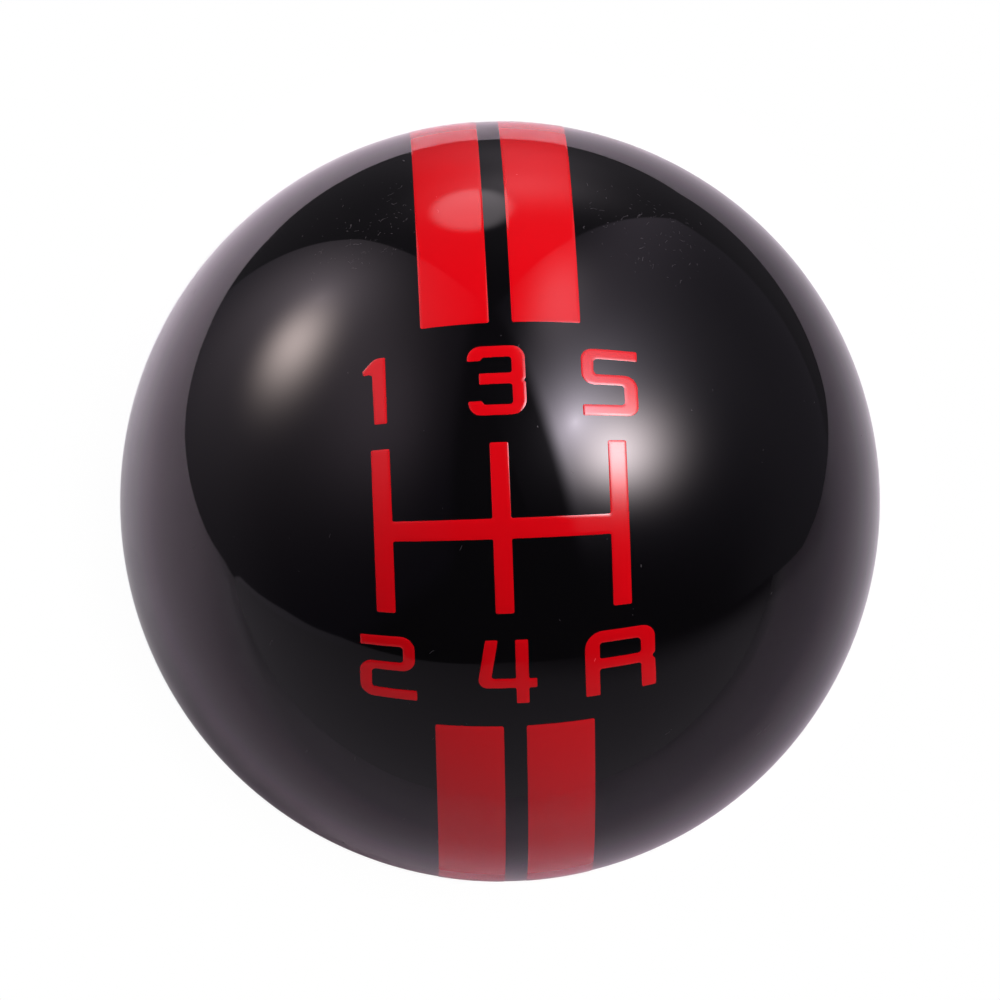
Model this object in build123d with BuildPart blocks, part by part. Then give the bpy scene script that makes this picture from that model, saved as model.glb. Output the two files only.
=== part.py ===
from build123d import *
from math import acos, asin, degrees, radians, sqrt, tan
import os

# Round gear shift knob: a cast resin ball moulded round a threaded insert, with a screw-in
# adapter that takes the gear lever and a raised red print on the crown.
# Millimetres, +Z up through the crown, +Y towards the front of the car.
# The origin is the middle of the flat base, on the axis of the lever's thread.

# Ball
ball_diameter = 54.0
base_land = 2.5  # flat resin ring left round the insert's collar
base_edge_radius = 2.0

# Threaded insert, moulded into the ball
insert_thread_diameter = 15.03  # pitch diameter of M16 x 1.5
insert_thread_depth = 24.0
insert_wall = 2.0
insert_end_wall = 2.5  # metal left beyond the drill point
drill_point_angle = 118.0
collar_overhang = 1.0
collar_height = 2.0
knurl_count = 30
knurl_depth = 0.5
retaining_groove_width = 4.0
retaining_groove_depth = 1.0
insert_mouth_chamfer = 0.8

# Thread adapter, screwed into the insert
lever_thread_diameter = 10.65  # minor diameter of M12 x 1.25
thread_clearance = 0.03
adapter_recess = 0.5
adapter_end_gap = 1.5
adapter_chamfer = 0.7
driver_slot_width = 2.0
driver_slot_depth = 2.5

# Raised print: lengths along the ball are arcs on its surface
print_thickness = 0.1
stripe_width = 4.65
stripe_gap = 1.56
stripe_start_arc = 14.42  # from the crown to a stripe's square inner end
stripe_base_margin = 1.5  # height of the outer ends above the base
gate_spacing = 8.0
gate_bar_width = 1.26
gate_bar_length = 11.7
gate_cross_width = 1.4
gate_side_offset = -0.47  # the gate is printed a little left of the stripes' middle

# Worked out from the sizes above
ball_radius = ball_diameter / 2
thread_radius = insert_thread_diameter / 2
insert_diameter = insert_thread_diameter + 2 * insert_wall
collar_diameter = insert_diameter + 2 * collar_overhang
base_radius = collar_diameter / 2 + base_land
centre_height = sqrt(ball_radius**2 - base_radius**2)
drill_point_height = thread_radius / tan(radians(drill_point_angle / 2))
insert_length = insert_thread_depth + drill_point_height + insert_end_wall
retaining_groove_start = (collar_height + insert_length - retaining_groove_width) / 2
adapter_diameter = insert_thread_diameter - 2 * thread_clearance
adapter_length = insert_thread_depth - adapter_end_gap - adapter_recess
ball_centre = Vector(0, 0, centre_height)

os.makedirs("parts", exist_ok=True)


def angle_of_arc(arc):
    """Degrees that an arc of this length takes up on the ball."""
    return degrees(arc / ball_radius)


def print_band(across, low, high, start, sweep):
    """Adds a band of print to the open part. Its sides lie in the planes at low and high
    along the direction across, and its ends start and start + sweep degrees from the crown,
    turning about that direction."""
    turning_axis = Axis(ball_centre, across)
    outwards = Vector(0, 0, 1).rotate(turning_axis, start)
    end_plane = Plane(ball_centre, x_dir=across, z_dir=Vector(across).cross(outwards))
    with BuildSketch(end_plane) as end_section:
        Circle(ball_radius + print_thickness)
        Circle(ball_radius, mode=Mode.SUBTRACT)
        with Locations(((low + high) / 2, 0)):
            Rectangle(
                high - low, ball_diameter, align=(Align.CENTER, Align.MIN), mode=Mode.INTERSECT
            )
    revolve(end_section.sketch, axis=turning_axis, revolution_arc=sweep)


# Outside of the insert: knurled against turning, grooved against pulling out
with BuildPart() as insert_blank:
    with BuildSketch():
        Circle(insert_diameter / 2)
        with PolarLocations(insert_diameter / 2, knurl_count):
            Rectangle(
                knurl_depth * sqrt(2), knurl_depth * sqrt(2), rotation=45, mode=Mode.SUBTRACT
            )
    extrude(amount=insert_length)
    with BuildSketch():
        Circle(collar_diameter / 2)
    extrude(amount=collar_height)
    with BuildSketch(Plane.XY.offset(retaining_groove_start)):
        Circle(insert_diameter / 2)
        Circle(insert_diameter / 2 - retaining_groove_depth, mode=Mode.SUBTRACT)
    extrude(amount=retaining_groove_width, mode=Mode.SUBTRACT)

# Ball: one resin casting with a flat base, gripping the insert's knurls and groove
with BuildPart() as ball:
    with BuildSketch(Plane.XZ) as ball_section:
        with Locations((0, centre_height)):
            Circle(ball_radius)
        Rectangle(
            ball_radius, ball_diameter, align=(Align.MIN, Align.MIN), mode=Mode.INTERSECT
        )
        base_corner = ball_section.vertices().group_by(Axis.Y)[0].sort_by(Axis.X)[-1]
        fillet(base_corner, radius=base_edge_radius)
    revolve(axis=Axis.Z)
    add(insert_blank.part, mode=Mode.SUBTRACT)
ball.part.label = "ball"
export_step(ball.part, "parts/ball.step")

# Threaded insert: the blank with its blind tapped hole, chamfered at the mouth
with BuildPart() as threaded_insert:
    add(insert_blank.part)
    with BuildSketch(Plane.XZ):
        with BuildLine():
            Polyline(
                (0, 0),
                (thread_radius + insert_mouth_chamfer, 0),
                (thread_radius, insert_mouth_chamfer),
                (thread_radius, insert_thread_depth),
                (0, insert_thread_depth + drill_point_height),
                close=True,
            )
        make_face()
    revolve(axis=Axis.Z, mode=Mode.SUBTRACT)
threaded_insert.part.label = "threaded_insert"
export_step(threaded_insert.part, "parts/threaded_insert.step")

# Thread adapter: a sleeve with a through bore for the lever and a slot for a wide driver
with BuildPart() as thread_adapter:
    with BuildSketch(Plane.XY.offset(adapter_recess)):
        Circle(adapter_diameter / 2)
        Circle(lever_thread_diameter / 2, mode=Mode.SUBTRACT)
    extrude(amount=adapter_length)
    chamfer(thread_adapter.edges().filter_by(GeomType.CIRCLE), length=adapter_chamfer)
    with BuildSketch(Plane.XY.offset(adapter_recess)):
        Rectangle(adapter_diameter, driver_slot_width)
    extrude(amount=driver_slot_depth, mode=Mode.SUBTRACT)
thread_adapter.part.label = "thread_adapter"
export_step(thread_adapter.part, "parts/thread_adapter.step")

# Twin stripes, broken by the gate: each runs square from the gate down towards the base
stripe_start = angle_of_arc(stripe_start_arc)
stripe_end = 180 - degrees(acos((centre_height - stripe_base_margin) / ball_radius))
stripe_middle = (stripe_gap + stripe_width) / 2
for end_name, turn in (("front", -1), ("rear", 1)):
    for side_name, side in (("left", -1), ("right", 1)):
        with BuildPart() as stripe:
            print_band(
                (1, 0, 0),
                side * stripe_middle - stripe_width / 2,
                side * stripe_middle + stripe_width / 2,
                turn * stripe_start,
                turn * (stripe_end - stripe_start),
            )
        stripe.part.label = f"stripe_{end_name}_{side_name}"
        export_step(stripe.part, f"parts/{stripe.part.label}.step")

# Shift gate: three upright bars joined by a cross bar through the crown
gate_bar_angle = angle_of_arc(gate_bar_length)
gate_bar_middles = [gate_side_offset + step * gate_spacing for step in (-1, 0, 1)]
cross_start = degrees(asin(gate_bar_middles[0] / ball_radius))
cross_end = degrees(asin(gate_bar_middles[-1] / ball_radius))
with BuildPart() as gate_diagram:
    for middle in gate_bar_middles:
        print_band(
            (1, 0, 0),
            middle - gate_bar_width / 2,
            middle + gate_bar_width / 2,
            -gate_bar_angle / 2,
            gate_bar_angle,
        )
    print_band(
        (0, 1, 0), -gate_cross_width / 2, gate_cross_width / 2, cross_start, cross_end - cross_start
    )
gate_diagram.part.label = "gate_diagram"
export_step(gate_diagram.part, "parts/gate_diagram.step")
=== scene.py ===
import math

import bmesh
import bpy
import numpy as np
from mathutils import Matrix, Vector


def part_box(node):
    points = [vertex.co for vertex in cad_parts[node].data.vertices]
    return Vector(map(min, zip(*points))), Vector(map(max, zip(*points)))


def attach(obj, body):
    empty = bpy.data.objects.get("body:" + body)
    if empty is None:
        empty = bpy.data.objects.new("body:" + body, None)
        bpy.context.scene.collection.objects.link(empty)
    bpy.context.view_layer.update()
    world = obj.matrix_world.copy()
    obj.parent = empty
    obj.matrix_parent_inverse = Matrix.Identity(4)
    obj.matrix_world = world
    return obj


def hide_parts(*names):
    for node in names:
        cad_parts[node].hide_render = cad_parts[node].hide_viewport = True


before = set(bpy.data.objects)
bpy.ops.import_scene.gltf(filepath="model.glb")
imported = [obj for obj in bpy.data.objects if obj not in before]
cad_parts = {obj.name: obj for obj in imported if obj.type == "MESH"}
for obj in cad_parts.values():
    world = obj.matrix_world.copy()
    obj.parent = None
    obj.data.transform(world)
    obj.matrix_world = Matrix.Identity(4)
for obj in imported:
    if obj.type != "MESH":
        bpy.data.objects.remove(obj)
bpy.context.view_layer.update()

mm = 0.001

# The crown and the widest ring of the CAD ball fix its radius and centre
ballPoints = [vertex.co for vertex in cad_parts["ball"].data.vertices]
crownHeight = max(point.z for point in ballPoints)
widest = max(ballPoints, key=lambda point: point.xy.length)
crownDrop = crownHeight - widest.z
ballRadius = (widest.xy.length ** 2 + crownDrop ** 2) / (2 * crownDrop)
ballCentre = Vector((0, 0, crownHeight - ballRadius))
print(f"frame: ball radius {ballRadius / mm:.3f} mm, centre at {ballCentre.z / mm:.3f} mm")


# Node helpers: a value that is a socket is linked, anything else is set
def feedSocket(tree, socket, value):
    if isinstance(value, bpy.types.NodeSocket):
        tree.links.new(value, socket)
    else:
        socket.default_value = value


def put(tree, kind, inputs=None, **settings):
    node = tree.nodes.new("ShaderNode" + kind)
    for name, value in settings.items():
        setattr(node, name, value)
    for key, value in (inputs or {}).items():
        feedSocket(tree, node.inputs[key], value)
    return node


def calc(tree, operation, *values):
    return put(tree, "Math", dict(enumerate(values)), operation=operation).outputs[0]


def vectorCalc(tree, operation, *values, output="Vector"):
    return put(tree, "VectorMath", dict(enumerate(values)), operation=operation).outputs[output]


def evenVector(tree, value):
    return put(tree, "CombineXYZ", {0: value, 1: value, 2: value}).outputs[0]


def blendColors(tree, amount, low, high):
    # sockets 6 and 7 of the node are its colours
    return put(tree, "Mix", {0: amount, 6: low, 7: high}, data_type="RGBA").outputs[2]


def noise(tree, place, scale, detail, output=0):
    return put(tree, "TexNoise", {"Vector": place, "Scale": scale, "Detail": detail}).outputs[output]


def ramp(tree, value, fromLow, fromHigh, toLow=0.0, toHigh=1.0, smooth=True):
    inputs = {
        "Value": value, "From Min": fromLow, "From Max": fromHigh, "To Min": toLow, "To Max": toHigh,
    }
    kind = "SMOOTHSTEP" if smooth else "LINEAR"
    return put(tree, "MapRange", inputs, interpolation_type=kind).outputs["Result"]


def newGroup(name, inputs, outputs):
    tree = bpy.data.node_groups.new(name, "ShaderNodeTree")
    for socketName, kind, value in inputs:
        socket = tree.interface.new_socket(socketName, in_out="INPUT", socket_type="NodeSocket" + kind)
        socket.default_value = value
    for socketName, kind in outputs:
        tree.interface.new_socket(socketName, in_out="OUTPUT", socket_type="NodeSocket" + kind)
    return tree, tree.nodes.new("NodeGroupInput").outputs, tree.nodes.new("NodeGroupOutput").inputs


def useGroup(tree, group, **values):
    node = put(tree, "Group", node_tree=group)
    for key, value in values.items():
        feedSocket(tree, node.inputs[key.replace("_", " ")], value)
    return node.outputs


def newMaterial(name):
    material = bpy.data.materials.new(name)
    material.use_nodes = True
    material.node_tree.nodes.clear()
    return material, material.node_tree


def finishMaterial(tree, shader):
    output = put(tree, "OutputMaterial")
    tree.links.new(shader, output.inputs["Surface"])


# Sprayed lacquer: a faint peel in the surface and smudges in the gloss
def lacquerPeelGroup():
    tree, given, made = newGroup(
        "lacquerPeel",
        [("Peel Size", "Float", 0.0016), ("Smudge Size", "Float", 0.012),
         ("Gloss Low", "Float", 0.03), ("Gloss High", "Float", 0.06)],
        [("Height", "Float"), ("Roughness", "Float")],
    )
    cleanBelow = 0.35  # of the smudge noise
    smudgedAbove = 0.7
    place = put(tree, "TexCoord").outputs["Object"]
    peel = noise(tree, place, calc(tree, "DIVIDE", 1.0, given["Peel Size"]), 1.0)
    smudge = noise(tree, place, calc(tree, "DIVIDE", 1.0, given["Smudge Size"]), 4.0)
    roughness = ramp(tree, smudge, cleanBelow, smudgedAbove, given["Gloss Low"], given["Gloss High"])
    tree.links.new(peel, made["Height"])
    tree.links.new(roughness, made["Roughness"])
    return tree


fibre = {
    "curlScale": 1.6, "curl": (0.5, 0.5, 0.5),
    "lengthPower": 3.0,  # most fibres are much shorter than the longest
    "solidShare": 0.4,   # of the width, before the soft edge
    "cellDepth": 0.35,   # how far from the surface a cell's point may lie
}


# Lint and dust: one short fibre or speck in some of the cells, lying flat on the surface.
# Lengths and widths are shares of the cells' spacing.
def lintGroup(shape):
    tree, given, made = newGroup(
        "lintAndDust",
        [("Spacing", "Float", 0.002), ("Fibre Length", "Float", 0.2),
         ("Fibre Width", "Float", 0.02), ("Amount", "Float", 0.3)],
        [("Mask", "Float")],
    )
    middle = (0.5, 0.5, 0.5)  # of a random colour
    width = given["Fibre Width"]
    place = put(tree, "TexCoord").outputs["Object"]
    outward = put(tree, "NewGeometry").outputs["Normal"]
    spread = calc(tree, "DIVIDE", 1.0, given["Spacing"])
    scaled = vectorCalc(tree, "MULTIPLY", place, evenVector(tree, spread))
    curl = noise(tree, scaled, shape["curlScale"], 0.0, "Color")
    curl = vectorCalc(tree, "SUBTRACT", curl, middle)
    scaled = vectorCalc(tree, "MULTIPLY_ADD", curl, shape["curl"], scaled)
    cell = put(tree, "TexVoronoi", {"Vector": scaled, "Scale": 1.0}).outputs
    offset = vectorCalc(tree, "SUBTRACT", scaled, cell["Position"])
    lift = vectorCalc(tree, "DOT_PRODUCT", offset, outward, output="Value")
    flat = vectorCalc(tree, "SUBTRACT", offset, vectorCalc(tree, "MULTIPLY", outward, lift))
    # a cell's colour gives its fibre's lean, length and chance of being there
    lean = vectorCalc(tree, "SUBTRACT", cell["Color"], middle)
    lean = vectorCalc(tree, "NORMALIZE", vectorCalc(tree, "CROSS_PRODUCT", lean, outward))
    chance = put(tree, "SeparateColor", {0: cell["Color"]}).outputs
    along = calc(tree, "ABSOLUTE", vectorCalc(tree, "DOT_PRODUCT", flat, lean, output="Value"))
    reach = vectorCalc(tree, "LENGTH", flat, output="Value")
    reachSquared = calc(tree, "MULTIPLY", reach, reach)
    alongSquared = calc(tree, "MULTIPLY", along, along)
    across = calc(tree, "SQRT", calc(tree, "SUBTRACT", reachSquared, alongSquared))
    length = calc(tree, "POWER", chance[1], shape["lengthPower"])
    length = calc(tree, "MULTIPLY", given["Fibre Length"], length)
    onLength = calc(tree, "LESS_THAN", along, calc(tree, "ADD", length, width))
    onWidth = ramp(tree, across, width, calc(tree, "MULTIPLY", width, shape["solidShare"]))
    present = calc(tree, "LESS_THAN", chance[0], given["Amount"])
    near = calc(tree, "LESS_THAN", calc(tree, "ABSOLUTE", lift), shape["cellDepth"])
    onFibre = calc(tree, "MULTIPLY", onLength, onWidth)
    shown = calc(tree, "MULTIPLY", present, near)
    tree.links.new(calc(tree, "MULTIPLY", onFibre, shown), made["Mask"])
    return tree


lacquerPeel = lacquerPeelGroup()
lintAndDust = lintGroup(fibre)

# One clear lacquer lies over the black and the red
lacquer = {
    "ior": 1.5,
    "glossLow": 0.03, "glossHigh": 0.05,
    "peelDepth": 0.0000005,
    "toneScale": 160.0,
    "fibreSpacing": 0.00055, "fibreLength": 0.5, "fibreWidth": 0.07,
    "dustRoughness": 0.4,
    "dustPatches": [(-8.5, 20.5, 6.0), (10.5, 19.5, 6.0)],  # beside the front stripes: x, y, reach in mm
    "patchCore": 0.4,     # share of the reach that is full of dust
    "strayDust": 0.012,   # share of it elsewhere
    "clumpScale": 300.0, "clumpLow": 0.35, "clumpHigh": 0.6, "betweenClumps": 0.4,
}
blackLacquer = {
    "deep": (0.0007, 0.0006, 0.0009, 1),
    "worn": (0.0013, 0.0012, 0.0015, 1),
    "dust": (0.017, 0.016, 0.018, 1),
    "dustAmount": 0.95,
}
redPrint = {
    "deep": (0.527, 0.0005, 0.0030, 1),
    "worn": (0.565, 0.0009, 0.0050, 1),
    "dust": (0.62, 0.06, 0.07, 1),
    "dustAmount": 0.12,
}


def lacquerMaterial(name, paint):
    material, tree = newMaterial(name)
    place = put(tree, "TexCoord").outputs["Object"]
    skin = useGroup(tree, lacquerPeel, Gloss_Low=lacquer["glossLow"], Gloss_High=lacquer["glossHigh"])
    share = lacquer["strayDust"]
    for x, y, reach in lacquer["dustPatches"]:
        spot = Vector((x * mm, y * mm, 0))
        spot.z = ballCentre.z + math.sqrt(ballRadius ** 2 - spot.length_squared)
        away = vectorCalc(tree, "DISTANCE", place, spot, output="Value")
        patch = ramp(tree, away, reach * mm, lacquer["patchCore"] * reach * mm)
        share = calc(tree, "ADD", share, patch)
    clumps = noise(tree, place, lacquer["clumpScale"], 2.0)
    most = paint["dustAmount"]
    least = lacquer["betweenClumps"] * most
    clumped = ramp(tree, clumps, lacquer["clumpLow"], lacquer["clumpHigh"], least, most)
    lint = useGroup(
        tree, lintAndDust, Spacing=lacquer["fibreSpacing"], Fibre_Length=lacquer["fibreLength"],
        Fibre_Width=lacquer["fibreWidth"], Amount=calc(tree, "MULTIPLY", clumped, share),
    )
    tone = noise(tree, place, lacquer["toneScale"], 3.0)
    color = blendColors(tree, tone, paint["deep"], paint["worn"])
    color = blendColors(tree, lint["Mask"], color, paint["dust"])
    dullness = calc(tree, "MULTIPLY", lint["Mask"], lacquer["dustRoughness"])
    roughness = calc(tree, "ADD", skin["Roughness"], dullness)
    bump = put(tree, "Bump", {"Height": skin["Height"], "Distance": lacquer["peelDepth"], "Strength": 1.0})
    shader = put(tree, "BsdfPrincipled", {
        "Base Color": color, "Roughness": roughness, "Normal": bump.outputs[0], "IOR": lacquer["ior"],
    })
    finishMaterial(tree, shader.outputs[0])
    return material


turnedMetal = {
    "bright": (0.80, 0.80, 0.82, 1),
    "dull": (0.62, 0.62, 0.64, 1),
    "dust": (0.2, 0.2, 0.2, 1), "dustCover": 0.6, "dustAmount": 0.12,
    "ringPitch": 0.00012, "ringDepth": 0.000004, "ringStrength": 0.5,
    "wanderScale": 9000.0, "wanderHeight": 2.0,  # uneven feed of the tool
    "wanderLow": 0.3, "wanderHigh": 0.7,
    "roughLow": 0.18, "roughHigh": 0.34,
}


def turnedMetalMaterial(finish):
    material, tree = newMaterial("turnedAluminium")
    place = put(tree, "TexCoord").outputs["Object"]
    split = put(tree, "SeparateXYZ", {0: place}).outputs
    flat = put(tree, "CombineXYZ", {0: split[0], 1: split[1]}).outputs[0]
    radius = vectorCalc(tree, "LENGTH", flat, output="Value")
    feed = calc(tree, "DIVIDE", calc(tree, "ADD", radius, split[2]), finish["ringPitch"])
    rings = calc(tree, "SINE", calc(tree, "MULTIPLY", feed, 2 * math.pi))
    wanderPlace = put(tree, "CombineXYZ", {
        0: calc(tree, "MULTIPLY", radius, finish["wanderScale"]),
        1: calc(tree, "MULTIPLY", split[2], finish["wanderScale"]),
    }).outputs[0]
    wander = noise(tree, wanderPlace, 1.0, 2.0)
    lint = useGroup(
        tree, lintAndDust, Spacing=0.0016, Fibre_Length=0.4, Fibre_Width=0.03, Amount=finish["dustAmount"],
    )
    color = blendColors(tree, wander, finish["bright"], finish["dull"])
    cover = calc(tree, "MULTIPLY", lint["Mask"], finish["dustCover"])
    color = blendColors(tree, cover, color, finish["dust"])
    roughness = ramp(
        tree, wander, finish["wanderLow"], finish["wanderHigh"], finish["roughLow"], finish["roughHigh"],
    )
    height = calc(tree, "ADD", rings, calc(tree, "MULTIPLY", wander, finish["wanderHeight"]))
    bump = put(tree, "Bump", {
        "Height": height, "Distance": finish["ringDepth"], "Strength": finish["ringStrength"],
    })
    shader = put(tree, "BsdfPrincipled", {
        "Base Color": color, "Roughness": roughness, "Normal": bump.outputs[0], "Metallic": 1.0,
    })
    finishMaterial(tree, shader.outputs[0])
    return material


mouldedNylon = {
    "deep": (0.016, 0.016, 0.017, 1),
    "worn": (0.030, 0.030, 0.031, 1),
    "dust": (0.2, 0.2, 0.2, 1), "dustAmount": 0.2,
    "toneScale": 900.0,
    "grainDepth": 0.00001, "grainStrength": 0.6,
}


def mouldedNylonMaterial(finish):
    material, tree = newMaterial("mouldedNylon")
    place = put(tree, "TexCoord").outputs["Object"]
    skin = useGroup(
        tree, lacquerPeel, Peel_Size=0.0003, Smudge_Size=0.004, Gloss_Low=0.38, Gloss_High=0.55,
    )
    lint = useGroup(
        tree, lintAndDust, Spacing=0.0013, Fibre_Length=0.4, Fibre_Width=0.035, Amount=finish["dustAmount"],
    )
    tone = noise(tree, place, finish["toneScale"], 4.0)
    color = blendColors(tree, tone, finish["deep"], finish["worn"])
    color = blendColors(tree, lint["Mask"], color, finish["dust"])
    bump = put(tree, "Bump", {
        "Height": skin["Height"], "Distance": finish["grainDepth"], "Strength": finish["grainStrength"],
    })
    shader = put(tree, "BsdfPrincipled", {
        "Base Color": color, "Roughness": skin["Roughness"], "Normal": bump.outputs[0],
    })
    finishMaterial(tree, shader.outputs[0])
    return material


blackLacquerMaterial = lacquerMaterial("blackLacquer", blackLacquer)
redPrintMaterial = lacquerMaterial("redPrint", redPrint)
turnedAluminium = turnedMetalMaterial(turnedMetal)
nylon = mouldedNylonMaterial(mouldedNylon)
print("materials: black lacquer, red print, turned aluminium, moulded nylon")


def addPiece(name, mesh, material):
    piece = bpy.data.objects.new(name, mesh)
    bpy.context.collection.objects.link(piece)
    mesh.materials.clear()
    mesh.materials.append(material)
    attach(piece, "root")
    return piece


def smoothFaces(mesh, creaseAngle):
    mesh.polygons.foreach_set("use_smooth", [True] * len(mesh.polygons))
    mesh.set_sharp_from_angle(angle=math.radians(creaseAngle))


def meshFrom(work, name, creaseAngle):
    bmesh.ops.recalc_face_normals(work, faces=work.faces[:])
    mesh = bpy.data.meshes.new(name)
    work.to_mesh(mesh)
    work.free()
    smoothFaces(mesh, creaseAngle)
    return mesh


# Turns a profile of (radius, height) points about the ball's axis. A row may vary round the turn.
def spinRows(work, rows, segments):
    rings = []
    for row in rows:
        ring = []
        for step in range(segments):
            turn = 2 * math.pi * step / segments
            radius, height = row(turn) if callable(row) else row
            if radius == 0 and ring:
                break
            ring.append(work.verts.new((radius * math.cos(turn), radius * math.sin(turn), height)))
        rings.append(ring)
    return rings


def skinRings(work, rings, segments):
    for upper, lower in zip(rings, rings[1:]):
        for step in range(segments):
            after = step + 1
            corners = (upper[step % len(upper)], lower[step % len(lower)],
                       lower[after % len(lower)], upper[after % len(upper)])
            work.faces.new(list(dict.fromkeys(corners)))


ballShape = {
    "segments": 256,
    "rings": 128,
    "baseEdgeRadius": 2.0 * mm,
    "baseEdgeSteps": 8,
    "collarHeight": 2.0 * mm,  # seat of the insert's collar
    "insertWall": 9.515 * mm,  # radius of the insert above the collar
    "creaseAngle": 35,
}


def buildBall(shape):
    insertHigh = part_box("threaded_insert")[1]
    edge = shape["baseEdgeRadius"]
    edgeOut = math.sqrt((ballRadius - edge) ** 2 - (ballCentre.z - edge) ** 2)
    # from straight down to where the round of the base starts
    edgeLean = math.atan2(edgeOut, ballCentre.z - edge)
    rows = []
    for step in range(shape["rings"] + 1):
        turn = (math.pi - edgeLean) * step / shape["rings"]
        radius = ballRadius * math.sin(turn) if step else 0
        rows.append((radius, ballCentre.z + ballRadius * math.cos(turn)))
    for step in range(1, shape["baseEdgeSteps"] + 1):
        turn = edgeLean * (1 - step / shape["baseEdgeSteps"])
        rows.append((edgeOut + edge * math.sin(turn), edge - edge * math.cos(turn)))
    rows += [
        (insertHigh.x, 0),
        (insertHigh.x, shape["collarHeight"]),
        (shape["insertWall"], shape["collarHeight"]),
        (shape["insertWall"], insertHigh.z),
        (0, insertHigh.z),
    ]
    work = bmesh.new()
    skinRings(work, spinRows(work, rows, shape["segments"]), shape["segments"])
    return meshFrom(work, "lacquered_ball", shape["creaseAngle"])


ball = addPiece("lacquered_ball", buildBall(ballShape), blackLacquerMaterial)
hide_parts("ball")
print(f"ball: {len(ball.data.polygons)} faces")


# Outlines are corners (x, along, round) in millimetres: x across the knob, along over the crown to the front
def roundedLoop(corners, arcSteps=7):
    sideShare = 0.85  # most of a side that one round may take
    points = []
    for index, (x, y, radius) in enumerate(corners):
        here = Vector((x, y))
        toBack = Vector(corners[index - 1][:2]) - here
        toNext = Vector(corners[(index + 1) % len(corners)][:2]) - here
        half = toBack.angle(toNext) / 2
        reach = min(radius / math.tan(half), sideShare * toBack.length, sideShare * toNext.length)
        start = here + toBack.normalized() * reach
        end = here + toNext.normalized() * reach
        middleWay = (toBack.normalized() + toNext.normalized()).normalized()
        middle = here + middleWay * reach / math.cos(half)
        sweep = (start - middle).angle_signed(end - middle)
        for step in range(arcSteps + 1):
            points.append(middle + Matrix.Rotation(-sweep * step / arcSteps, 2) @ (start - middle))
    return points


def filledOutline(name, loops, inset=0.0):
    outline = bpy.data.curves.new(name, "CURVE")
    outline.dimensions = "2D"
    outline.fill_mode = "BOTH"
    outline.offset = -inset
    for loop in loops:
        spline = outline.splines.new("POLY")
        spline.points.add(len(loop) - 1)
        for point, place in zip(spline.points, loop):
            point.co = (place[0], place[1], 0, 1)
        spline.use_cyclic_u = True
    holder = bpy.data.objects.new(name, outline)
    mesh = bpy.data.meshes.new_from_object(holder)
    bpy.data.objects.remove(holder)
    bpy.data.curves.remove(outline)
    return mesh


film = {
    "height": 0.022 * mm,    # print stands this far above the black
    "bareEdge": 0.004 * mm,  # and its rounded shoulder starts this far up
    "sink": 0.03 * mm,       # skirt let into the black, so no gap shows
    "shoulder": 0.2,         # width of the rounded shoulder, in outline millimetres
    "shoulderCuts": 4,
    "weld": 0.001,           # corners closer than this are one
    "cutSnap": 0.0005,
}


def layOnBall(x, along, height):
    turn = along / (ballRadius / mm)
    across = math.sqrt(ballRadius ** 2 - (x * mm) ** 2)
    outward = Vector((x * mm, across * math.sin(turn), across * math.cos(turn))) / ballRadius
    return ballCentre + outward * (ballRadius + height), outward


# Cuts the flat print into cells, closer together along its outer edges
def cutToCells(work, grid):
    for axis in (0, 1):
        places = [vertex.co[axis] for vertex in work.verts]
        low, high = min(places), max(places)
        cuts = [index * grid for index in range(math.ceil(low / grid), math.ceil(high / grid))]
        for step in range(1, film["shoulderCuts"] + 1):
            inwards = film["shoulder"] * step / film["shoulderCuts"]
            cuts += [low + inwards, high - inwards]
        for cut in cuts:
            cutPlace = [0, 0, 0]
            cutPlace[axis] = cut
            cutWay = [0, 0, 0]
            cutWay[axis] = 1
            everything = work.verts[:] + work.edges[:] + work.faces[:]
            bmesh.ops.bisect_plane(
                work, geom=everything, dist=film["cutSnap"], plane_co=cutPlace, plane_no=cutWay,
            )


# For each vertex: how far it lies from the edge of the print, and the way in from there
def waysIn(work):
    edges = [edge for edge in work.edges if edge.is_boundary]
    starts = np.array([edge.verts[0].co.xy for edge in edges])
    spans = np.array([edge.verts[1].co.xy for edge in edges]) - starts
    ways = []
    for vertex in work.verts:
        here = np.array(vertex.co.xy)
        if vertex.is_boundary:
            way = Vector((0, 0))
            for edge in vertex.link_edges:
                if edge.is_boundary:
                    along = (edge.verts[1].co - edge.verts[0].co).xy.normalized()
                    inside = (edge.link_faces[0].calc_center_median() - edge.verts[0].co).xy
                    way += (inside - along * inside.dot(along)).normalized()
            ways.append((0.0, way.normalized()))
            continue
        share = np.clip(((here - starts) * spans).sum(axis=1) / (spans ** 2).sum(axis=1), 0, 1)
        gaps = here - starts - spans * share[:, None]
        way = Vector(gaps[np.argmin((gaps ** 2).sum(axis=1))])
        ways.append((way.length, way.normalized()))
    return ways


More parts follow.
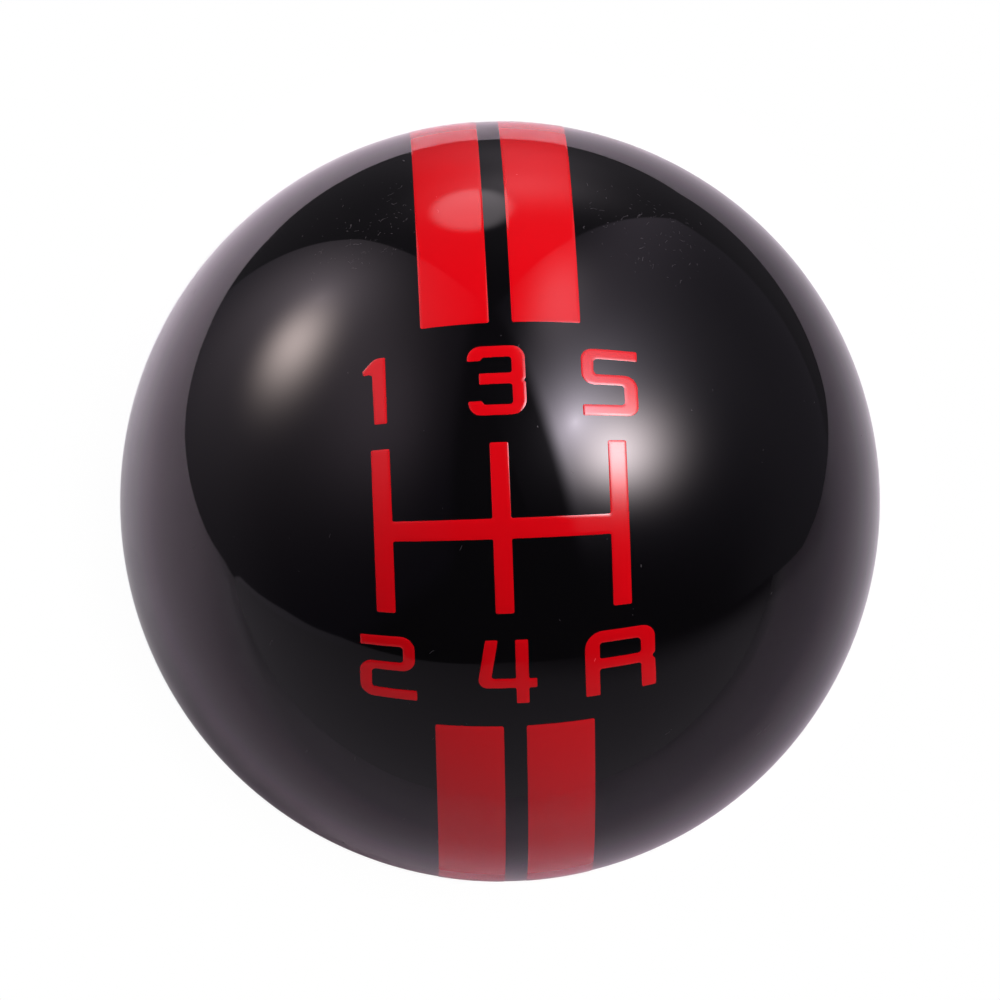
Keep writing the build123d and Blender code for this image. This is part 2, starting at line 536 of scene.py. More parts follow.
# A film of print on the ball: domed at its edges, with a skirt that goes down into the black
def buildFilm(name, loops, grid, inset=0.0):
    flat = filledOutline(name, loops, inset)
    work = bmesh.new()
    work.from_mesh(flat)
    bpy.data.meshes.remove(flat)
    bmesh.ops.remove_doubles(work, verts=work.verts[:], dist=film["weld"])
    cutToCells(work, grid)
    ways = waysIn(work)
    rim = [edge for edge in work.edges if edge.is_boundary]
    rise = film["height"] - film["bareEdge"]
    step = 0.01  # finds the way in along the ball
    normals = []
    for vertex, (depth, way) in zip(work.verts, ways):
        x, along = vertex.co.xy
        left = 1 - min(depth / film["shoulder"], 1)
        vertex.co, outward = layOnBall(x, along, film["bareEdge"] + rise * (1 - left * left))
        inward = (layOnBall(x + step * way.x, along + step * way.y, 0)[1] - outward).normalized()
        slope = 2 * rise * left / (film["shoulder"] * mm)
        normals.append((outward - inward * slope).normalized())
    skirt = bmesh.ops.extrude_edge_only(work, edges=rim)["geom"]
    work.verts.index_update()
    for vertex in [item for item in skirt if isinstance(item, bmesh.types.BMVert)]:
        joined = [edge.other_vert(vertex) for edge in vertex.link_edges]
        top = [other for other in joined if other.index < len(ways)][0]
        normals.append(normals[top.index])
        vertex.co = ballCentre + (vertex.co - ballCentre).normalized() * (ballRadius - film["sink"])
    bmesh.ops.recalc_face_normals(work, faces=work.faces[:])
    work.faces.ensure_lookup_table()
    first = work.faces[0]
    if first.normal.dot(first.calc_center_median() - ballCentre) < 0:
        bmesh.ops.reverse_faces(work, faces=work.faces[:])
    mesh = bpy.data.meshes.new(name)
    work.to_mesh(mesh)
    work.free()
    mesh.polygons.foreach_set("use_smooth", [True] * len(mesh.polygons))
    mesh.normals_split_custom_set_from_vertices(normals)
    return mesh


stripes = {"start": 14.42, "endHeight": 1.5, "corner": 0.14, "grid": 0.6}
stripeEnd = math.acos((stripes["endHeight"] - ballCentre.z / mm) * mm / ballRadius) * ballRadius / mm
for stripeName in ("stripe_front_left", "stripe_front_right", "stripe_rear_left", "stripe_rear_right"):
    stripeLow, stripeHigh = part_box(stripeName)
    sign = 1 if stripeName.startswith("stripe_front") else -1
    near, far = sorted((sign * stripes["start"], sign * stripeEnd))
    left, right = stripeLow.x / mm, stripeHigh.x / mm
    places = ((left, near), (right, near), (right, far), (left, far))
    corners = [(x, y, stripes["corner"]) for x, y in places]
    stripeMesh = buildFilm(stripeName, [roundedLoop(corners)], stripes["grid"])
    stripe = addPiece("print_" + stripeName, stripeMesh, redPrintMaterial)
    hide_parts(stripeName)

gate = {"barWidth": 1.26, "barLength": 11.7, "crossWidth": 1.4, "corner": 0.14, "grid": 0.15}


def gateLoop(shape):
    half, reach, cross = shape["barWidth"] / 2, shape["barLength"] / 2, shape["crossWidth"] / 2
    gateLow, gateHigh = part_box("gate_diagram")
    bars = [gateLow.x / mm + half, (gateLow.x + gateHigh.x) / 2 / mm, gateHigh.x / mm - half]
    top = []
    for bar in bars:
        top += [(bar - half, cross), (bar - half, reach), (bar + half, reach), (bar + half, cross)]
    top = top[1:-1]  # the outer bars run straight down past the cross bar
    loop = top + [(x, -y) for x, y in reversed(top)]
    return roundedLoop([(x, y, shape["corner"]) for x, y in loop])


gateMesh = buildFilm("print_gate", [gateLoop(gate)], gate["grid"])
gatePiece = addPiece("print_gate", gateMesh, redPrintMaterial)
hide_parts("gate_diagram")

figureShape = {"grid": 0.13, "inset": 0.045}  # figures print a little thinner than their outlines
figures = {
    "1": [[(-8.84, 7.66, 0.14), (-7.88, 7.66, 0.14), (-7.86, 12.68, 0.15), (-8.65, 12.68, 0.9),
           (-9.52, 11.80, 0.3), (-9.45, 11.42, 0.14), (-8.86, 11.42, 0.2)]],
    "3": [[(-2.42, 11.55, 0.14), (-1.50, 11.55, 0.15), (-1.28, 11.79, 0.15), (0.58, 11.79, 0.2),
           (0.58, 10.72, 0.15), (-1.66, 10.72, 0.14), (-1.66, 9.86, 0.14), (0.58, 9.86, 0.15),
           (0.58, 8.50, 0.2), (-1.28, 8.50, 0.15), (-1.50, 8.78, 0.15), (-2.44, 8.78, 0.15),
           (-2.44, 7.68, 0.9), (1.58, 7.68, 1.1), (1.58, 9.95, 0.2), (1.46, 10.12, 0.1),
           (1.58, 10.30, 0.2), (1.58, 12.70, 0.95), (-2.42, 12.70, 0.95)]],
    "5": [[(9.20, 12.52, 0.14), (5.28, 12.52, 0.85), (5.28, 9.78, 0.9), (8.15, 9.78, 0.2),
           (8.15, 8.42, 0.2), (5.28, 8.42, 0.14), (5.28, 7.55, 0.14), (9.16, 7.55, 0.75),
           (9.16, 10.62, 0.95), (6.20, 10.62, 0.25), (6.20, 11.68, 0.25), (9.20, 11.68, 0.14)]],
    "2": [[(-10.34, -7.58, 0.14), (-6.62, -7.58, 1.0), (-6.62, -10.32, 0.95), (-9.56, -10.32, 0.25),
           (-9.56, -11.72, 0.2), (-6.54, -11.72, 0.14), (-6.54, -12.60, 0.14), (-10.44, -12.60, 0.95),
           (-10.44, -9.58, 0.95), (-7.50, -9.58, 0.2), (-7.50, -8.45, 0.2), (-10.34, -8.45, 0.14)]],
    "4": [[(-1.92, -7.70, 0.14), (-0.98, -7.70, 0.14), (-1.50, -10.57, 0.15), (0.10, -10.57, 0.1),
           (0.10, -7.70, 0.14), (1.06, -7.70, 0.14), (1.06, -10.60, 0.1), (1.62, -10.60, 0.14),
           (1.62, -11.40, 0.14), (1.06, -11.40, 0.1), (1.06, -12.60, 0.14), (0.11, -12.60, 0.14),
           (0.11, -11.38, 0.1), (-2.56, -11.38, 0.65), (-2.42, -10.50, 1.0)]],
    "R": [[(4.84, -12.60, 0.14), (5.90, -12.60, 0.14), (5.90, -10.52, 0.15), (8.66, -10.52, 0.2),
           (8.70, -12.56, 0.14), (9.76, -12.56, 0.14), (9.72, -10.35, 0.3), (9.52, -10.10, 0.1),
           (9.72, -9.85, 0.3), (9.72, -7.55, 0.95), (4.82, -7.55, 1.35)],
          [(5.92, -8.52, 0.2), (8.66, -8.52, 0.3), (8.66, -9.64, 0.2), (5.92, -9.64, 0.1)]],
}
for figure, loops in figures.items():
    rounded = [roundedLoop(loop) for loop in loops]
    figureMesh = buildFilm("figure_" + figure, rounded, figureShape["grid"], figureShape["inset"])
    addPiece("print_figure_" + figure, figureMesh, redPrintMaterial)
print("print: four stripes, gate and", len(figures), "figures")

adapter = {
    "chamfer": 0.7 * mm,
    "bore": 5.325 * mm,
    "pitch": 1.25 * mm,
    "threadDepth": 0.66 * mm,
    "crestShare": 0.25,   # of half a pitch
    "flankShare": 0.625,
    "segments": 96,
    "rowsPerPitch": 12,
    "slotWidth": 2.0 * mm,
    "slotDepth": 2.5 * mm,
    "creaseAngle": 40,
}


def buildAdapter(shape):
    low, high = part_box("thread_adapter")
    outer, bore, chamfer, pitch = high.x, shape["bore"], shape["chamfer"], shape["pitch"]
    boreLow, boreHigh = low.z + chamfer, high.z - chamfer

    def threadRow(height):
        fade = min(1, (height - boreLow) / pitch, (boreHigh - height) / pitch)

        def radiusAt(turn):
            phase = abs((height / pitch - turn / (2 * math.pi)) % 1 - 0.5) * 2
            flank = min(1, max(0, (phase - shape["crestShare"]) / shape["flankShare"]))
            return bore + shape["threadDepth"] * flank * fade, height
        return radiusAt

    rowCount = round((boreHigh - boreLow) / pitch * shape["rowsPerPitch"])
    rows = [(outer, boreHigh), (outer, boreLow), (outer - chamfer, low.z), (bore + chamfer, low.z)]
    rows += [threadRow(boreLow + (boreHigh - boreLow) * step / rowCount) for step in range(rowCount + 1)]
    rows += [(bore + chamfer, high.z), (outer - chamfer, high.z)]
    work = bmesh.new()
    rings = spinRows(work, rows, shape["segments"])
    skinRings(work, rings + rings[:1], shape["segments"])
    sleeveMesh = meshFrom(work, "adapter_sleeve", shape["creaseAngle"])

    # the driver slot is cut right across the lower end
    cutter = bmesh.new()
    bmesh.ops.create_cube(cutter, size=1)
    slotSize = Vector((4 * outer, shape["slotWidth"], 2 * shape["slotDepth"]))
    slotPlace = Matrix.LocRotScale(Vector((0, 0, low.z)), None, slotSize)
    bmesh.ops.transform(cutter, matrix=slotPlace, verts=cutter.verts)
    slotTool = bpy.data.objects.new("slotTool", meshFrom(cutter, "slotTool", shape["creaseAngle"]))
    sleeve = bpy.data.objects.new("sleeve", sleeveMesh)
    for part in (slotTool, sleeve):
        bpy.context.collection.objects.link(part)
    cut = sleeve.modifiers.new("driverSlot", "BOOLEAN")
    cut.operation = "DIFFERENCE"
    cut.solver = "EXACT"
    cut.object = slotTool
    bpy.context.view_layer.update()
    cutSleeve = sleeve.evaluated_get(bpy.context.evaluated_depsgraph_get())
    slotted = bpy.data.meshes.new_from_object(cutSleeve)
    bpy.data.objects.remove(sleeve)
    bpy.data.objects.remove(slotTool)
    smoothFaces(slotted, shape["creaseAngle"])
    return slotted


adapterPiece = addPiece("lever_adapter", buildAdapter(adapter), nylon)
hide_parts("thread_adapter")

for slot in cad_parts["threaded_insert"].material_slots:
    slot.material = turnedAluminium
print("insert and adapter: turned metal and threaded nylon")


# Stage: soft panels, a pale sheet, a front card and a dim room.
# The camera sees only the floor and the backdrop, and the ball only the rest.
def addStage(name, mesh, material, seenByCamera):
    obj = bpy.data.objects.new(name, mesh)
    bpy.context.collection.objects.link(obj)
    mesh.materials.clear()
    mesh.materials.append(material)
    obj.visible_camera = seenByCamera
    for flag in ("visible_diffuse", "visible_glossy", "visible_transmission", "visible_shadow"):
        setattr(obj, flag, not seenByCamera)
    if seenByCamera:
        material.cycles.emission_sampling = "NONE"  # it lights nothing
    return obj


def rectangle(halfWide, halfHigh):
    return [(-halfWide, -halfHigh), (halfWide, -halfHigh), (halfWide, halfHigh), (-halfWide, halfHigh)]


def glowShader(tree, color, strength=1.0):
    return put(tree, "Emission", {"Color": color, "Strength": strength}).outputs[0]


def addShaders(tree, first, second):
    return put(tree, "AddShader", {0: first, 1: second}).outputs[0]


# Clear from behind
def oneSided(tree, shader):
    clear = put(tree, "BsdfTransparent").outputs[0]
    behind = put(tree, "NewGeometry").outputs["Backfacing"]
    return put(tree, "MixShader", {0: behind, 1: shader, 2: clear}).outputs[0]


def glowMaterial(name, color):
    material, tree = newMaterial(name)
    finishMaterial(tree, glowShader(tree, color))
    return material


# A lamp behind the cloth: brightest at its centre, falling away round it
def lampGlowGroup():
    tree, given, made = newGroup(
        "lampGlow",
        [("Centre", "Vector", (0, 0, 0)), ("Turn", "Vector", (0, 0, 0)), ("Size", "Vector", (1, 1, 1)),
         ("Fall", "Float", 2.0), ("Color", "Vector", (1, 1, 1))],
        [("Glow", "Vector")],
    )
    place = put(tree, "TexCoord").outputs["Object"]
    inputs = {
        "Vector": place, "Location": given["Centre"], "Rotation": given["Turn"], "Scale": given["Size"],
    }
    spot = put(tree, "Mapping", inputs, vector_type="TEXTURE").outputs[0]
    reach = calc(tree, "POWER", vectorCalc(tree, "LENGTH", spot, output="Value"), given["Fall"])
    level = calc(tree, "EXPONENT", calc(tree, "MULTIPLY", reach, -1.0))
    glow = vectorCalc(tree, "MULTIPLY", evenVector(tree, level), given["Color"])
    tree.links.new(glow, made["Glow"])
    return tree


lampGlow = lampGlowGroup()

# On a panel, places and sizes are shares of its distance from the ball
panels = {
    "left": {
        "towards": (-0.898, 0.283, 0.338), "right": (0.416, 0.29, 0.862), "distance": 0.35,
        "outline": [(-1.43, 1.2, 0.1), (-0.2, 1.47, 0.3), (1.55, 1.45, 0.1), (1.55, -1.5, 0.1),
                    (0.02, -1.5, 0.1)],
        "base": (0.015, 0.012, 0.024),
        "fades": [
            {"way": (-1, 0, 0), "from": -1.42, "to": -1.15, "rest": 0.0},
            {"way": (0, 1, 0), "from": -1.48, "to": -1.1, "rest": 0.0},
        ],
        "spots": [
            {"centre": (-0.046, 0.484), "size": (0.171, 0.210), "turn": 3.5, "fall": 2.0,
             "color": (8.1, 6.7, 6.3)},
            {"centre": (-0.046, 0.787), "size": (0.325, 0.373), "turn": 52.5, "fall": 1.0,
             "color": (2.31, 1.94, 2.18)},
            {"centre": (0.585, 0.108), "size": (0.355, 0.441), "turn": 6.6, "fall": 2.0,
             "color": (0.45, 0.36, 0.43)},
        ],
    },
    "right": {
        "towards": (0.821, 0.361, 0.442), "right": (0.489, -0.046, -0.871), "distance": 0.6,
        "outline": [(-1.5, -1.4, 0.1), (0.3, -1.4, 0.1), (1.5, -0.25, 0.1), (1.5, 1.45, 0.1),
                    (-1.5, 1.45, 0.1)],
        "base": (0.034, 0.030, 0.042),
        "fades": [
            {"way": (1, -0.056, 0), "from": -1.01, "to": -0.833, "rest": 0.06},
            {"way": (0, 1, 0), "from": -1.3, "to": -0.1, "rest": 0.0},
            {"way": (0, -1, 0), "from": -1.405, "to": -1.375, "rest": 0.0},
        ],
        "spots": [
            {"centre": (-0.477, -0.093), "size": (0.253, 0.191), "turn": 10.4, "fall": 1.92,
             "color": (17.7, 15.4, 15.8)},
            {"centre": (-0.690, 0.139), "size": (0.228, 0.162), "turn": 23.5, "fall": 1.0,
             "color": (15.1, 13.7, 15.9)},
            {"centre": (0.078, 0.856), "size": (2.0, 0.338), "turn": 30.2, "fall": 2.0,
             "color": (0.29, 0.242, 0.30)},
            {"centre": (-0.325, 0.947), "size": (0.226, 0.407), "turn": -43.7, "fall": 2.0,
             "color": (1.18, 1.02, 1.12)},
        ],
    },
    "front": {
        "towards": (0.0, 0.96, -0.28), "right": (-1, 0, 0), "distance": 0.6,
        "outline": [(-0.7, -0.8, 0.3), (0.6, -0.8, 0.3), (0.6, 0.45, 0.3), (-0.7, 0.45, 0.3)],
        "base": (0, 0, 0),
        "fades": [],
        "spots": [
            {"centre": (0.057, 0.096), "size": (0.139, 0.168), "turn": 0.0, "fall": 10.0,
             "color": (1.48, 1.33, 1.42)},
            {"centre": (-0.08, -0.07), "size": (0.24, 0.150), "turn": 19.4, "fall": 2.0,
             "color": (0.54, 0.48, 0.53)},
            {"centre": (-0.12, -0.351), "size": (0.210, 0.257), "turn": 18.0, "fall": 2.0,
             "color": (0.23, 0.205, 0.23)},
        ],
    },
}


def panelMaterial(name, panel):
    material, tree = newMaterial(name)
    glow = panel["base"]
    for spot in panel["spots"]:
        lamp = useGroup(
            tree, lampGlow, Centre=(*spot["centre"], 0), Turn=(0, 0, math.radians(spot["turn"])),
            Size=(*spot["size"], 1), Fall=spot["fall"], Color=spot["color"],
        )
        glow = vectorCalc(tree, "ADD", glow, lamp["Glow"])
    place = put(tree, "TexCoord").outputs["Object"]
    for fade in panel["fades"]:
        along = vectorCalc(tree, "DOT_PRODUCT", place, fade["way"], output="Value")
        kept = ramp(tree, along, fade["from"], fade["to"], fade["rest"], 1.0)
        glow = vectorCalc(tree, "MULTIPLY", glow, evenVector(tree, kept))
    clear = put(tree, "BsdfTransparent").outputs[0]
    finishMaterial(tree, addShaders(tree, glowShader(tree, glow), clear))
    return material


for side, panel in panels.items():
    panelName = "panel_" + side
    cloth = filledOutline(panelName, [roundedLoop(panel["outline"])])
    panelPiece = addStage(panelName, cloth, panelMaterial(panelName, panel), False)
    outWay = Vector(panel["towards"]).normalized()
    upWay = outWay.cross(Vector(panel["right"])).normalized()
    facing = Matrix((upWay.cross(outWay), upWay, outWay)).transposed().to_4x4()
    standing = Matrix.Translation(ballCentre + outWay * panel["distance"])
    panelPiece.matrix_world = standing @ facing @ Matrix.Scale(panel["distance"], 4)
    panelPiece.visible_shadow = False  # the cloth is clear, so nothing is lost

# The sheet lies just under the floor and is what the ball reflects. Its outline and its patch of painted
# glow are in millimetres, and its other lengths in metres.
sheet = {
    "outline": [(-38, 45.2), (-20, 47), (0, 47.4), (18, 46.2), (30, 44.8), (46, 36), (72, 19), (104, 4),
                (128, -8), (200, -40), (1266, -400), (-1628, -400), (-600, -107), (-251, -19),
                (-166, 5), (-99, 24), (-63, 38)],
    "holeRadius": 13.0, "holeSteps": 48,
    "lower": 0.1,
    # painted shade: the sheet's colour darkens away from the left panel
    "dark": (0.345, 0.318, 0.36, 1), "light": (0.88, 0.81, 0.89, 1),  # shades off away from the left panel
    "shadeWay": (-0.35, 0.94, 0), "shadeFrom": -0.085, "shadeTo": 0.045,
    "sideFrom": 0.06, "sideTo": -0.06,
    "edgeWay": (0.418, 0.908, 0),  # square to the right edge
    "edgeFrom": 0.02, "edgeFull": 0.045, "edgeDim": 0.35, "edgeClear": 0.09, "edgeReach": 0.13,
    "nearColor": (0.31, 0.305, 0.315, 1), "nearReach": 0.075, "nearFull": 0.03,
    "nearBack": -0.035, "nearBackFull": -0.002,
    "nearFront": 0.04, "nearFrontFull": 0.005, "nearFrontRest": 0.3,
    "rearColor": (1.08, 1.0, 1.1), "rearFrom": -0.05, "rearFull": -0.15,
    "rearLeft": 0.2, "rearRight": 0.075, "rearLeftEnd": -0.25, "rearRightEnd": 0.05,
    "farLeft": 0.1, "farLeftFrom": -0.2, "farLeftFull": -0.4,
    "farRight": 0.055, "farRightFrom": 0.3, "farRightFull": 0.55,
    "patch": {"centre": (60, -18, 0), "size": (18, 38, 1), "turn": -28, "color": (0.125, 0.115, 0.125)},
}


def sheetMaterial(shape):
    material, tree = newMaterial("paperSheet")
    place = put(tree, "NewGeometry").outputs["Position"]
    split = put(tree, "SeparateXYZ", {0: place}).outputs
    across, forward = split["X"], split["Y"]
    reach = vectorCalc(tree, "LENGTH", place, output="Value")
    # painted shade in the paper's colour: lighter towards the front and the left panel
    shade = vectorCalc(tree, "DOT_PRODUCT", place, shape["shadeWay"], output="Value")
    frontShare = ramp(tree, shade, shape["shadeFrom"], shape["shadeTo"], smooth=False)
    leftShare = ramp(tree, across, shape["sideFrom"], shape["sideTo"])
    lightShare = calc(tree, "MINIMUM", frontShare, leftShare)
    color = blendColors(tree, lightShare, shape["dark"], shape["light"])
    # painted shade: the right edge dims well away from the ball
    outside = vectorCalc(tree, "DOT_PRODUCT", place, shape["edgeWay"], output="Value")
    dimmed = ramp(tree, outside, shape["edgeFrom"], shape["edgeFull"], 0.0, shape["edgeDim"])
    dimmed = calc(tree, "MULTIPLY", dimmed, ramp(tree, reach, shape["edgeClear"], shape["edgeReach"]))
    kept = calc(tree, "SUBTRACT", 1.0, dimmed)
    color = vectorCalc(tree, "MULTIPLY", color, evenVector(tree, kept))
    paper = put(tree, "BsdfDiffuse", {"Color": color}).outputs[0]
    # painted glow round the foot of the ball, but not behind it
    near = ramp(tree, reach, shape["nearReach"], shape["nearFull"])
    near = calc(tree, "MULTIPLY", near, ramp(tree, forward, shape["nearBack"], shape["nearBackFull"]))
    nearFront = ramp(
        tree, forward, shape["nearFront"], shape["nearFrontFull"], shape["nearFrontRest"], 1.0,
    )
    near = calc(tree, "MULTIPLY", near, nearFront)
    paintedFootGlow = glowShader(tree, shape["nearColor"], near)
    # and painted glow along the back, up to the foot of the card, with a glowing patch on the right
    behind = ramp(tree, forward, shape["rearFrom"], shape["rearFull"])
    rearSide = ramp(
        tree, across, shape["rearLeftEnd"], shape["rearRightEnd"],
        shape["rearLeft"], shape["rearRight"], smooth=False,
    )
    rear = calc(tree, "MULTIPLY", behind, rearSide)
    farLeft = ramp(tree, across, shape["farLeftFrom"], shape["farLeftFull"], 0.0, shape["farLeft"])
    farLeft = calc(tree, "MULTIPLY", calc(tree, "SUBTRACT", 1.0, behind), farLeft)
    farRight = ramp(tree, across, shape["farRightFrom"], shape["farRightFull"], 0.0, shape["farRight"])
    farRight = calc(tree, "MULTIPLY", farRight, kept)
    rear = calc(tree, "ADD", rear, calc(tree, "ADD", farLeft, farRight))
    rearGlow = vectorCalc(tree, "MULTIPLY", evenVector(tree, rear), shape["rearColor"])
    patch = shape["patch"]
    lamp = useGroup(
        tree, lampGlow, Centre=patch["centre"], Turn=(0, 0, math.radians(patch["turn"])),
        Size=patch["size"], Fall=2.0, Color=patch["color"],
    )
    spread = glowShader(tree, vectorCalc(tree, "ADD", rearGlow, lamp["Glow"]))
    finishMaterial(tree, addShaders(tree, paper, addShaders(tree, paintedFootGlow, spread)))
    return material


hole = []
for step in range(sheet["holeSteps"]):
    holeTurn = 2 * math.pi * step / sheet["holeSteps"]
    hole.append((sheet["holeRadius"] * math.cos(holeTurn), sheet["holeRadius"] * math.sin(holeTurn)))
sheetMesh = filledOutline("paper_sheet", [sheet["outline"], hole])
sheetPiece = addStage("paper_sheet", sheetMesh, sheetMaterial(sheet), False)
sheetPiece.scale = (mm, mm, mm)
sheetPiece.location.z = -sheet["lower"] * mm

# Card standing behind the driver's side of the knob. It glows with painted light, brighter towards its foot
# and to the left
frontCard = {
    "outline": [(-1.63, 0.07), (-1.22, 0.185), (-0.91, 0.285), (-0.69, 0.33), (-0.54, 0.373),
                (-0.34, 0.40), (0, 0.44), (0.25, 0.415), (0.42, 0.375), (0.63, 0.298), (0.9, 0.19),
                (1.27, 0.03), (1.27, -0.01), (-1.63, -0.01)],
    "away": 0.4,
    "foot": 0.02, "footColor": (0.335, 0.30, 0.345, 1),
    "top": 0.44, "topColor": (0.165, 0.15, 0.172, 1),
    "leftEnd": -0.85, "leftLevel": 1.25,
    "middleEnd": -0.1, "middleLevel": 0.92,
    "rightFrom": 0.55, "rightEnd": 1.1, "rightRest": 0.55,
    "fadeWay": (0.376, 0.926, 0),  # square to the top edge on the right
    "fadeFrom": 0.52, "fadeTo": 0.32, "fadeRest": 0.15,
}


def frontCardMaterial(shape):
    material, tree = newMaterial("frontCard")
    place = put(tree, "TexCoord").outputs["Object"]
    split = put(tree, "SeparateXYZ", {0: place}).outputs
    rise = ramp(tree, split["Y"], shape["foot"], shape["top"], smooth=False)
    color = blendColors(tree, rise, shape["footColor"], shape["topColor"])
    level = ramp(
        tree, split["X"], shape["leftEnd"], shape["middleEnd"],
        shape["leftLevel"], shape["middleLevel"], smooth=False,
    )
    upRight = vectorCalc(tree, "DOT_PRODUCT", place, shape["fadeWay"], output="Value")
    faded = ramp(tree, upRight, shape["fadeFrom"], shape["fadeTo"], shape["fadeRest"], 1.0)
    level = calc(tree, "MULTIPLY", level, faded)
    right = ramp(tree, split["X"], shape["rightFrom"], shape["rightEnd"], 1.0, shape["rightRest"])
    level = calc(tree, "MULTIPLY", level, right)
    finishMaterial(tree, glowShader(tree, vectorCalc(tree, "MULTIPLY", color, evenVector(tree, level))))
    return material


cardMesh = filledOutline("front_card", [frontCard["outline"]])
cardPiece = addStage("front_card", cardMesh, frontCardMaterial(frontCard), False)
upright = Matrix.Rotation(math.pi / 2, 4, "X")
cardPiece.matrix_world = Matrix.Translation((0, -frontCard["away"], 0)) @ upright

# A card under the sheet's hole lights the base
baseCard = {"halfWide": 0.03, "halfLong": 0.04, "lower": 0.03, "light": (0.9, 0.9, 0.9, 1)}
baseMesh = filledOutline("base_card", [rectangle(baseCard["halfWide"], baseCard["halfLong"])])
basePiece = addStage("base_card", baseMesh, glowMaterial("baseCard", baseCard["light"]), False)
basePiece.location.z = -baseCard["lower"]

floorShape = {
    "reach": 2.4, "domeRadius": 2.6,
    "lower": 0.03,  # millimetres, just clear of the flat base
    "ownLight": 0.97, "paper": (0.06, 0.06, 0.06, 1),
    "underLight": 0.45, "underPaper": (0.5, 0.5, 0.5, 1),  # under the ball, where its shadow gathers
    "underReach": 0.028, "underFull": 0.014,
    "shadowFull": 0.027, "shadowEnd": 0.033,
}
white = (1, 1, 1, 1)
black = (0, 0, 0, 1)


# The floor is seen from above only, and keeps a soft shadow in its diffuse part
def floorMaterial(shape):
    material, tree = newMaterial("paleFloor")
    reach = vectorCalc(tree, "LENGTH", put(tree, "NewGeometry").outputs["Position"], output="Value")
    under = ramp(tree, reach, shape["underReach"], shape["underFull"])
    level = ramp(tree, under, 0.0, 1.0, shape["ownLight"], shape["underLight"], smooth=False)
    paper = blendColors(tree, under, shape["paper"], shape["underPaper"])
    # further out there is no shadow left to keep, and it is plain white
    shadowed = ramp(tree, reach, shape["shadowEnd"], shape["shadowFull"])
    level = calc(tree, "MULTIPLY_ADD", shadowed, calc(tree, "SUBTRACT", level, 1.0), 1.0)
    paper = blendColors(tree, shadowed, black, paper)
    lit = put(tree, "BsdfDiffuse", {"Color": paper}).outputs[0]
    finishMaterial(tree, oneSided(tree, addShaders(tree, glowShader(tree, white, level), lit)))
    return material


floorMesh = filledOutline("pale_floor", [rectangle(floorShape["reach"], floorShape["reach"])])
floorPiece = addStage("pale_floor", floorMesh, floorMaterial(floorShape), True)
floorPiece.location.z = -floorShape["lower"] * mm

# Light that the floor gives back to the print, left out of the gloss
bounce = {
    "halfWide": 300, "halfLong": 350, "lower": 0.06,  # millimetres
    "frontLight": 0.0, "rearLight": 1.4, "frontFrom": 0.05, "rearFrom": -0.05,
}


def bounceMaterial(shape):
    material, tree = newMaterial("floorBounce")
    place = put(tree, "NewGeometry").outputs["Position"]
    forward = put(tree, "SeparateXYZ", {0: place}).outputs["Y"]
    level = ramp(
        tree, forward, shape["rearFrom"], shape["frontFrom"], shape["rearLight"], shape["frontLight"],
    )
    finishMaterial(tree, oneSided(tree, glowShader(tree, white, level)))
    return material


bounceMesh = filledOutline("floor_bounce", [rectangle(bounce["halfWide"], bounce["halfLong"]), hole])
bouncePiece = addStage("floor_bounce", bounceMesh, bounceMaterial(bounce), False)
bouncePiece.visible_glossy = False
bouncePiece.visible_shadow = False
bouncePiece.scale = (mm, mm, mm)
bouncePiece.location.z = -bounce["lower"] * mm

# A card low in front fills in the print, and is left out of the gloss too
fill = {"towards": (0.4, 0.87, 0.25), "distance": 0.4, "half": 0.2, "light": (2.0, 2.0, 2.0, 1)}
fillMesh = filledOutline("front_fill", [rectangle(fill["half"], fill["half"])])
fillPiece = addStage("front_fill", fillMesh, glowMaterial("frontFill", fill["light"]), False)
fillPiece.visible_glossy = False
fillPiece.visible_shadow = False
fillWay = Vector(fill["towards"]).normalized()
fillPiece.rotation_euler = fillWay.to_track_quat("Z", "Y").to_euler()
fillPiece.location = ballCentre + fillWay * fill["distance"]

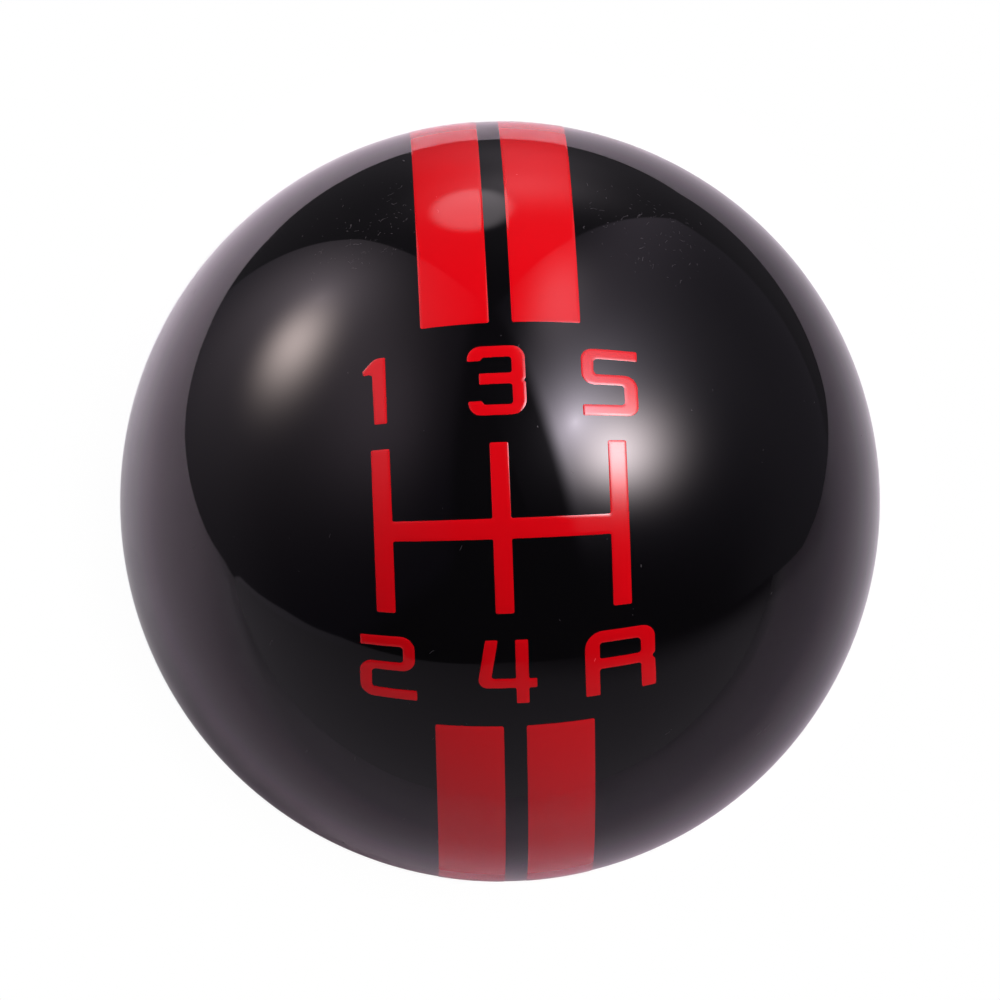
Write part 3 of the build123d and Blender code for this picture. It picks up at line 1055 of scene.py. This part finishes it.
dome = bmesh.new()
bmesh.ops.create_icosphere(dome, subdivisions=4, radius=floorShape["domeRadius"])
domeMesh = meshFrom(dome, "pale_backdrop", 60)
addStage("pale_backdrop", domeMesh, glowMaterial("paleBackdrop", white), True)

# The room is dim, a little lighter to the front and low down
room = {
    "color": (1, 0.92, 1.05, 1),
    "back": 0.03, "backTo": -0.25,
    "front": 0.045, "frontFrom": 0.45,
    "low": 0.045, "lowTo": -0.1, "lowEnd": 0.35,
}
world = bpy.data.worlds.new("dimRoom")
world.use_nodes = True
worldTree = world.node_tree
worldWay = put(worldTree, "SeparateXYZ", {0: put(worldTree, "TexCoord").outputs["Generated"]}).outputs
frontLevel = ramp(worldTree, worldWay["Y"], room["backTo"], room["frontFrom"], room["back"], room["front"])
lowLevel = ramp(worldTree, worldWay["Z"], room["lowTo"], room["lowEnd"], room["low"], 0.0)
background = worldTree.nodes["Background"]
background.inputs["Color"].default_value = room["color"]
worldTree.links.new(calc(worldTree, "ADD", frontLevel, lowLevel), background.inputs["Strength"])
bpy.context.scene.world = world
print("stage: floor, backdrop, sheet, front card and", len(panels), "soft panels")

# Camera almost straight above the crown
view = {
    "tip": 3.915, "lean": 1.16, "roll": 2.205,
    "distance": 0.5,
    "lens": 252.96, "sensor": 36, "shiftY": 0.0014,
    "clipStart": 0.01, "clipEnd": 10,
}
viewTurn = (Matrix.Rotation(math.radians(view["roll"]), 3, "Z")
            @ Matrix.Rotation(math.radians(view["lean"]), 3, "Y")
            @ Matrix.Rotation(math.radians(view["tip"]), 3, "X"))
cameraData = bpy.data.cameras.new("camera")
cameraData.lens = view["lens"]
cameraData.sensor_width = view["sensor"]
cameraData.shift_y = view["shiftY"]
cameraData.clip_start = view["clipStart"]
cameraData.clip_end = view["clipEnd"]
camera = bpy.data.objects.new("camera", cameraData)
bpy.context.collection.objects.link(camera)
cameraPlace = Matrix.Translation(ballCentre + viewTurn[2] * view["distance"])
camera.matrix_world = cameraPlace @ viewTurn.transposed().to_4x4()
bpy.context.scene.camera = camera
bpy.context.scene.view_settings.view_transform = "Standard"

bpy.context.view_layer.update()
